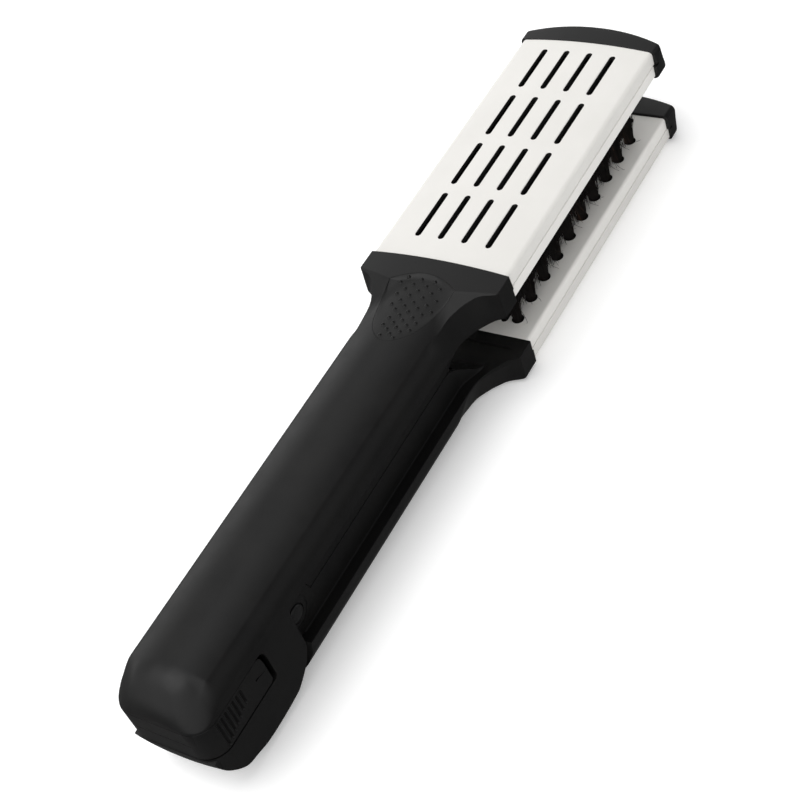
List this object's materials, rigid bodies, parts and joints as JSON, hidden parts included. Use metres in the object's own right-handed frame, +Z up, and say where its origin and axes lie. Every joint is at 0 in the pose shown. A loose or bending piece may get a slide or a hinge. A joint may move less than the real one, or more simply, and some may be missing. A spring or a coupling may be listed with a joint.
{
  "type": "hair straightening brush",
  "caption": "Hinged hair straightening brush: vented white plates with facing bristle tufts, black tip caps, flared collars, long handles with thumb grips and a sliding lock at the tail.",
  "frame": {"origin": "centre of the footprint, on the plane the lower arm rests on", "axes": "+X from the tail to the tips, +Y to the left seen from the tail, +Z up from the lower arm to the upper arm"},
  "size_m": [0.278, 0.05, 0.0402],
  "materials": {
    "black_shell": "satin black, fine spark-eroded grain",
    "white_plate": "warm white, satin gloss",
    "bristle_bed": "matt black",
    "bristle": "black and dark brown fibres",
    "grip_pad": "matt black with small raised domes",
    "steel": "bright zinc",
    "pin": "black, semi-gloss",
    "washer": "natural nylon",
    "latch": "dark grey acetal"
  },
  "bodies": {
    "lower_arm": {"lower_outer_plate": "white_plate", "lower_inner_plate": "white_plate", "lower_bristle_bed": "bristle_bed", "lower_bristles": "bristle", "lower_tip_cap": "black_shell", "lower_handle_shell": "black_shell", "lower_inner_cover": "black_shell", "lower_thumb_pad": "grip_pad", "lower_screws": "steel", "hinge_pin": "pin", "hinge_washers": "washer", "hinge_spring": "steel"},
    "upper_arm": {"upper_outer_plate": "white_plate", "upper_inner_plate": "white_plate", "upper_bristle_bed": "bristle_bed", "upper_bristles": "bristle", "upper_tip_cap": "black_shell", "upper_handle_shell": "black_shell", "upper_inner_cover": "black_shell", "upper_thumb_pad": "grip_pad", "upper_screws": "steel", "tail_cover": "black_shell", "tail_screws": "steel", "lock_detent": "steel"},
    "lock": {"lock_slide": "black_shell", "lock_latch": "latch"}
  },
  "joints": [
    {"name": "arm_hinge", "type": "hinge", "parent": "lower_arm", "child": "upper_arm", "pos_m": [-0.0923, 0, 0.0201], "axis": [0, -1, 0], "range_deg": [0, 11], "deforming": ["hinge_spring"]},
    {"name": "lock_slide_travel", "type": "slide", "parent": "upper_arm", "child": "lock", "axis": [1, 0, 0], "range_m": [0, 0.0015]}
  ]
}
